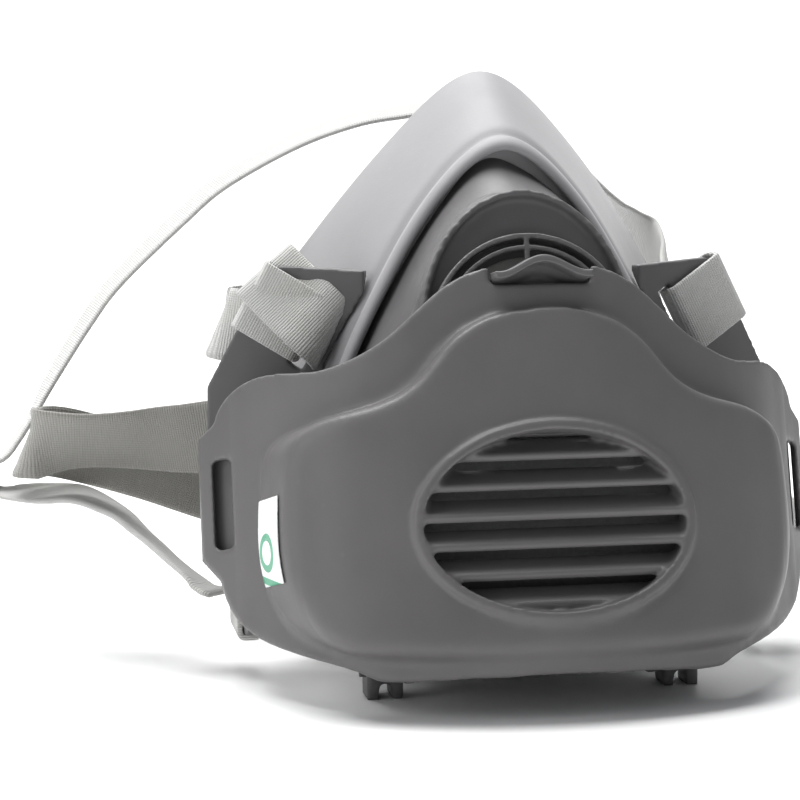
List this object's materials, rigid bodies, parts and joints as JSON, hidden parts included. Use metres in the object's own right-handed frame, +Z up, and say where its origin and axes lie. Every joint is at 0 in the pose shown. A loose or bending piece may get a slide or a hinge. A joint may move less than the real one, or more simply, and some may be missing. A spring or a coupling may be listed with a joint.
{
  "type": "painters respirator mask",
  "caption": "Reusable half-face painter's respirator with a soft face cup, hinged louvred filter cover, exhale valve, strap ears and an elastic harness.",
  "frame": {"origin": "on the floor, midway between the two feet under the cover's hinge", "axes": "+X across the mask, +Y back towards the wearer's face, +Z up"},
  "size_m": [0.1726, 0.1104, 0.122],
  "materials": {
    "cover_grey": "satin moulded plastic",
    "frame_grey": "satin moulded plastic",
    "seal_grey": "soft matt elastomer",
    "valve_plastic": "moulded plastic",
    "flap_rubber": "thin silicone flap",
    "guard_grey": "satin moulded plastic",
    "gasket_black": "soft foam rubber",
    "carbon_felt": "dark fibrous felt",
    "pad_white": "pale non-woven filter fleece",
    "pin_grey": "hard plastic pin",
    "label_white": "thin printed film, plain here",
    "webbing_white": "woven elastic webbing",
    "clasp_grey": "moulded plastic"
  },
  "bodies": {
    "facepiece": {"front_frame": "frame_grey", "face_seal": "seal_grey", "exhale_valve_seat": "valve_plastic", "exhale_valve_guard": "guard_grey", "inhale_valve_seat": "valve_plastic", "filter_gasket": "gasket_black", "carbon_layer": "carbon_felt", "filter_pad": "pad_white", "hinge_pin_left": "pin_grey", "hinge_pin_right": "pin_grey", "strap_ear_left": "frame_grey", "strap_ear_right": "frame_grey", "strap_loop_left": "webbing_white", "strap_loop_right": "webbing_white", "strap_loop_low_left": "webbing_white", "strap_loop_low_right": "webbing_white", "crown_strap": "webbing_white", "neck_strap_left": "webbing_white", "neck_strap_right": "webbing_white", "neck_clasp_hook": "clasp_grey", "neck_clasp_loop": "clasp_grey"},
    "cover": {"filter_cover": "cover_grey", "cover_label": "label_white"},
    "latch": {"latch_tab": "frame_grey"},
    "exhale_flap": {"exhale_valve_disc": "flap_rubber"},
    "inhale_flap": {"inhale_valve_disc": "flap_rubber"}
  },
  "joints": [
    {"name": "cover_hinge", "type": "hinge", "parent": "facepiece", "child": "cover", "pos_m": [0, 0, 0.0054], "axis": [1, 0, 0], "range_deg": [0, 60]},
    {"name": "latch_flex", "type": "hinge", "parent": "facepiece", "child": "latch", "pos_m": [0, -0.0149, 0.05195], "axis": [1, 0, 0], "range_deg": [-6, 0], "stiffness_Nm_per_rad": 0.3},
    {"name": "exhale_lift", "type": "slide", "parent": "facepiece", "child": "exhale_flap", "axis": [0, -0.9715, 0.2368], "range_m": [0, 0.0015], "stiffness_N_per_m": 20},
    {"name": "inhale_lift", "type": "slide", "parent": "facepiece", "child": "inhale_flap", "axis": [0, 0.9715, -0.2368], "range_m": [0, 0.002], "stiffness_N_per_m": 20}
  ]
}
